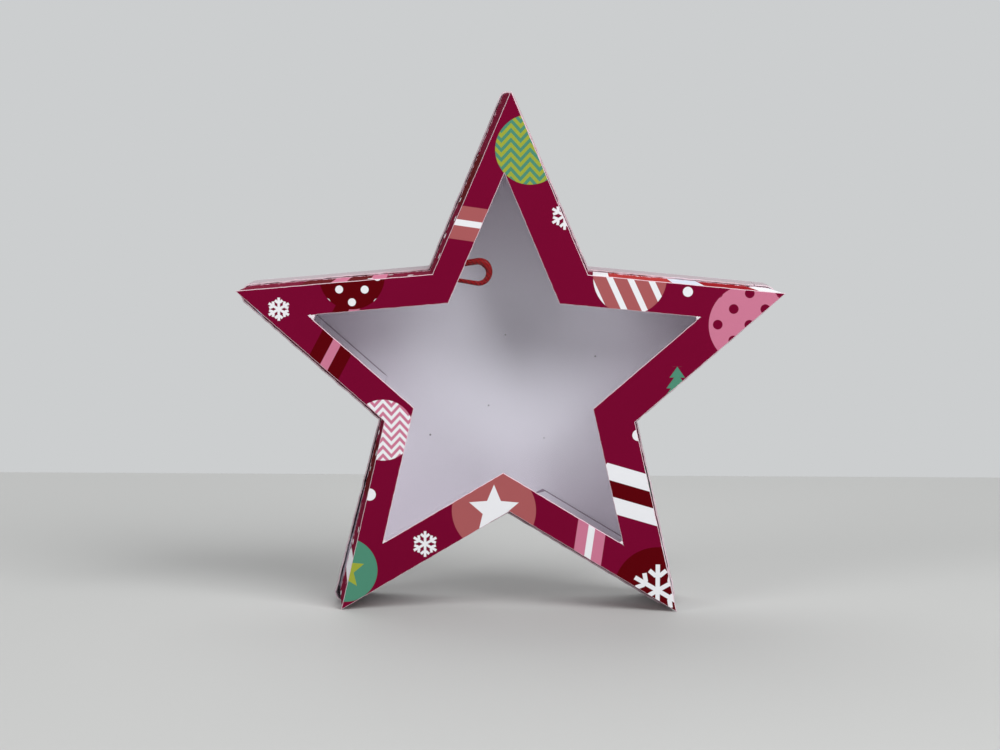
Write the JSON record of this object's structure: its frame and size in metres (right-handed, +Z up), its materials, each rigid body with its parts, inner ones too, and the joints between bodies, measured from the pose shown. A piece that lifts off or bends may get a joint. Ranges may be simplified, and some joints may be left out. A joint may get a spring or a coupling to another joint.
{
  "type": "star candy box",
  "caption": "Star-shaped gift box of printed card with a clear star window in front and a plain cover that slides off its back.",
  "frame": {"origin": "bottom centre of the closed box, on the surface that its two lower tips stand on", "axes": "+X to the right as one faces the window, +Y from the window to the rear cover, +Z up to the top tip"},
  "size_m": [0.1426, 0.025, 0.1357],
  "materials": {
    "printed_card": "smooth card printed on one side, white at its cut edges",
    "plain_card": "plain matt white card",
    "clear_film": "clear glossy plastic film",
    "red_cord": "glossy satin cord"
  },
  "bodies": {
    "window_box": {"window_frame": "printed_card", "window_film": "clear_film", "front_wall_long_strip": "printed_card", "front_wall_short_strip": "printed_card", "cord_loop": "red_cord"},
    "rear_cover": {"back_panel": "plain_card", "cover_wall_long_strip": "plain_card", "cover_wall_short_strip": "plain_card"}
  },
  "joints": [
    {"name": "cover_slide", "type": "slide", "parent": "window_box", "child": "rear_cover", "axis": [0, 1, 0], "range_m": [0, 0.03]}
  ]
}
